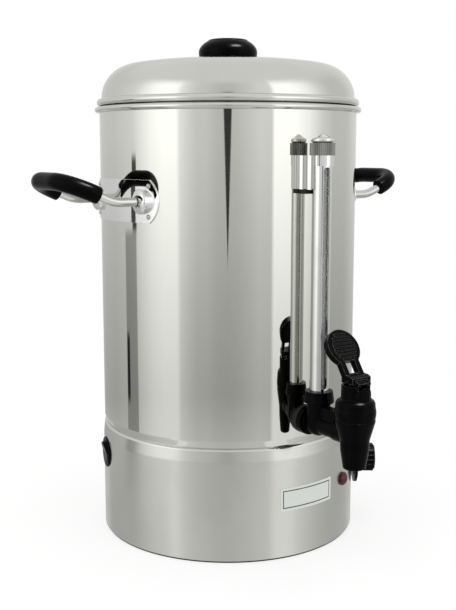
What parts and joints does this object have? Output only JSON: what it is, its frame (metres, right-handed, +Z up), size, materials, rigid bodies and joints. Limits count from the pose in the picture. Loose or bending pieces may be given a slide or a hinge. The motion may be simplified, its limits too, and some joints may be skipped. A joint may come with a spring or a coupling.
{
  "type": "hot water urn",
  "caption": "Stainless drum urn for heating and dispensing water, with lever tap, sight gauge, side handles, lift-off domed lid, thermostat knob, lamp and rocker switch in its base.",
  "frame": {"origin": "on the urn's axis, at the face it stands on", "axes": "+Z up the urn's axis, -Y towards the tap, handles on +X and -X"},
  "size_m": [0.3518, 0.3111, 0.4236],
  "materials": {
    "polished_steel": "mirror polished",
    "satin_steel": "satin, brushed around the urn",
    "bright_metal": "bright plated",
    "grey_metal": "knurled, dull",
    "plain_steel": "plain",
    "black_plastic": "moulded, slightly glossy",
    "dark_plastic": "moulded",
    "white_plastic": "moulded",
    "black_rubber": "matt",
    "pale_rubber": "matt silicone",
    "red_rubber": "matt silicone",
    "clear_glass": "clear",
    "red_lens": "translucent red",
    "yellow_metal": "plain"
  },
  "bodies": {
    "urn": {"tank": "polished_steel", "tank_floor": "polished_steel", "base_skirt": "satin_steel", "gauge_guard": "bright_metal", "gauge_strap": "bright_metal", "gauge_gland": "bright_metal", "gauge_dome": "bright_metal", "handle_plate_left": "bright_metal", "handle_plate_right": "bright_metal", "handle_rod_left": "bright_metal", "handle_rod_right": "bright_metal", "gauge_collar": "grey_metal", "base_plate": "plain_steel", "base_brackets": "plain_steel", "base_screws": "plain_steel", "tap_spring": "plain_steel", "strap_rivets": "plain_steel", "handle_rivets": "plain_steel", "thermostat_screws": "plain_steel", "sensor_clips": "plain_steel", "lamp_nut": "plain_steel", "heating_element": "plain_steel", "tap_shank": "black_plastic", "tap_back_nut": "black_plastic", "tap_body": "black_plastic", "tap_bonnet": "black_plastic", "handle_grip_left": "black_plastic", "handle_grip_right": "black_plastic", "switch_housing": "black_plastic", "cord_gland": "black_plastic", "cord_gland_nut": "black_plastic", "thermostat": "dark_plastic", "boil_dry_cutout": "dark_plastic", "terminal_block": "white_plastic", "lamp_body": "white_plastic", "foot_ring": "black_rubber", "tap_outer_seal": "black_rubber", "tap_inner_seal": "black_rubber", "gauge_seals": "black_rubber", "element_seals": "red_rubber", "gauge_glass": "clear_glass", "lamp_lens": "red_lens", "sensor_bulb": "yellow_metal", "element_nuts": "yellow_metal"},
    "lid": {"lid_shell": "polished_steel", "lid_locating_ring": "polished_steel", "lid_knob": "black_plastic", "lid_knob_screw": "plain_steel", "lid_knob_washer": "plain_steel"},
    "tap_stem": {"tap_stem": "white_plastic", "tap_seat_cup": "pale_rubber", "lever_pin": "plain_steel"},
    "tap_lever": {"tap_lever": "black_plastic"},
    "thermostat_dial": {"thermostat_knob": "black_plastic", "thermostat_shaft": "plain_steel"},
    "switch_rocker": {"switch_rocker": "black_plastic"}
  },
  "joints": [
    {"name": "lid_lift", "type": "slide", "parent": "urn", "child": "lid", "axis": [0, 0, 1], "range_m": [0, 0.12]},
    {"name": "stem_slide", "type": "slide", "parent": "urn", "child": "tap_stem", "axis": [0, 0, 1], "range_m": [0, 0.00508], "deforming": ["tap_spring"]},
    {"name": "lever_hinge", "type": "hinge", "parent": "tap_stem", "child": "tap_lever", "pos_m": [0, -0.17, 0.1568], "axis": [1, 0, 0], "range_deg": [0, 60], "stiffness_Nm_per_rad": 0.02, "springref_deg": -68.75},
    {"name": "thermostat_turn", "type": "hinge", "parent": "urn", "child": "thermostat_dial", "pos_m": [0.0983, -0.06883, 0.055], "axis": [-0.8192, 0.5736, 0], "range_deg": [0, 270]},
    {"name": "rocker_tip", "type": "hinge", "parent": "urn", "child": "switch_rocker", "pos_m": [-0.10433, 0.0319, 0.07], "axis": [0.2924, 0.9563, 0], "range_deg": [0, 16]}
  ],
  "couplings": [
    {"joint": "stem_slide", "follows": "lever_hinge", "m_per_rad": 0.0048}
  ]
}
